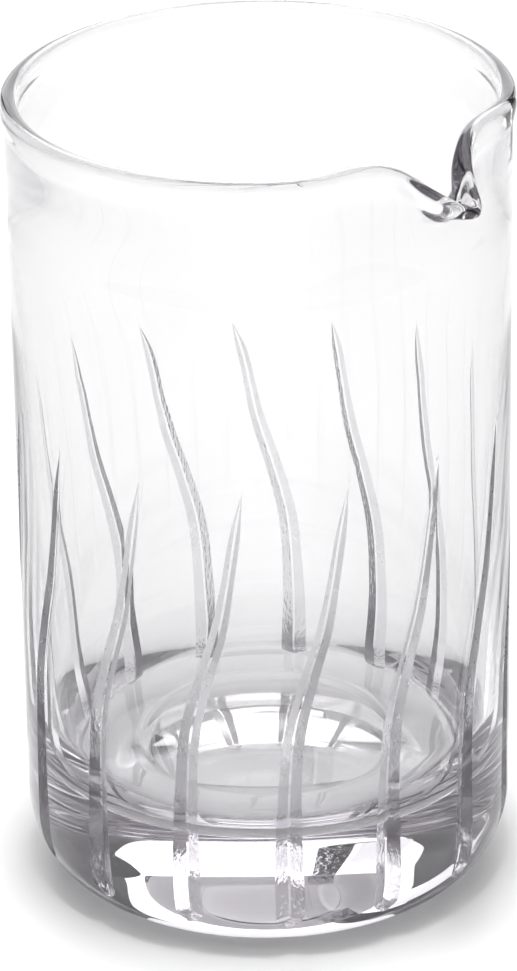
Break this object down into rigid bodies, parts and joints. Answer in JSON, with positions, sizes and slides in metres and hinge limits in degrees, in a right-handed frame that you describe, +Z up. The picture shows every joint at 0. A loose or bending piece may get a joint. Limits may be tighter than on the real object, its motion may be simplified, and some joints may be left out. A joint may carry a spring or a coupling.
{
  "type": "mixing glass",
  "caption": "Straight-sided bar mixing glass in clear crystal, with a thick base, a pinched pouring spout and flame-shaped mitre cuts round the lower wall.",
  "frame": {"origin": "centre of the underside, on the surface the glass stands on", "axes": "+Z up along the glass's axis, +X towards the pouring spout"},
  "size_m": [0.0977, 0.0906, 0.15],
  "materials": {
    "clear_crystal": "polished clear crystal, with satin-ground mitre cuts"
  },
  "bodies": {
    "root": {"glass_body": "clear_crystal"}
  },
  "joints": []
}
